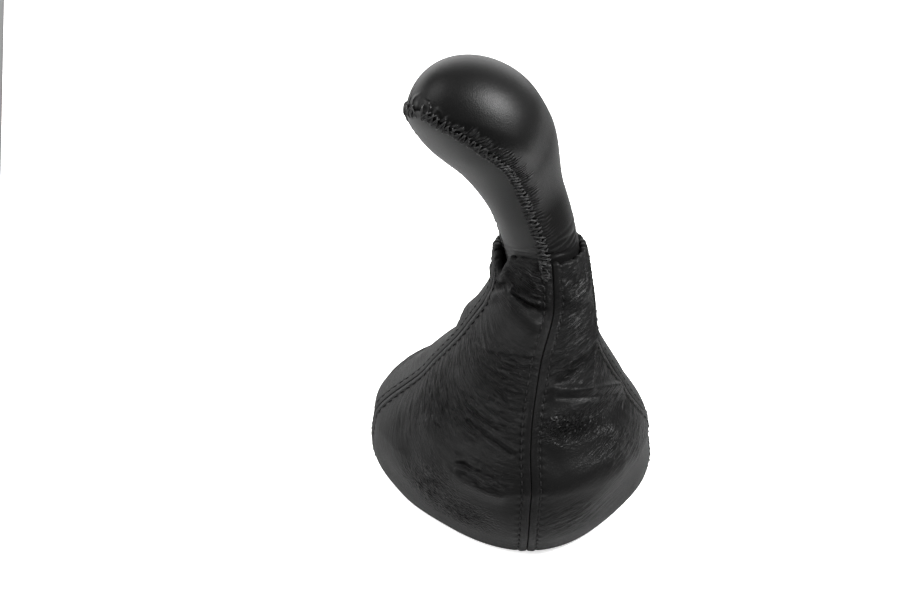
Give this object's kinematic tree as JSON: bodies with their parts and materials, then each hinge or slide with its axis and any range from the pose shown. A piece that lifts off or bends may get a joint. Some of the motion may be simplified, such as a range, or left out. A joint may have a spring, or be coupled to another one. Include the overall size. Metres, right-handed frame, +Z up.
{
  "type": "gear lever gaiter with grip",
  "caption": "Hooked, leather-laced gear grip tied into the top of a flared leather gaiter with felled corner seams and a turned-in hem.",
  "frame": {"origin": "middle of the bounding box at the floor, where the gaiter stands on its turned-in hem", "axes": "+Z up, the grip's hook leans toward -Y, +X is the driver's right when the hook points at them"},
  "size_m": [0.1344, 0.1178, 0.2252],
  "materials": {
    "gaiter_leather": "soft black grained hide, satin",
    "grip_leather": "tight black hide polished by the hand",
    "moulded_plastic": "black moulded plastic",
    "sleeve_rubber": "black rubber",
    "tie_nylon": "black nylon"
  },
  "bodies": {
    "root": {"gaiter_panel_front": "gaiter_leather", "gaiter_panel_right": "gaiter_leather", "gaiter_panel_rear": "gaiter_leather", "gaiter_panel_left": "gaiter_leather", "grip_core": "moulded_plastic", "gaiter_collar": "moulded_plastic", "grip_cover_under": "grip_leather", "grip_cover_upper": "grip_leather", "lever_sleeve": "sleeve_rubber", "cable_tie": "tie_nylon"}
  },
  "joints": []
}
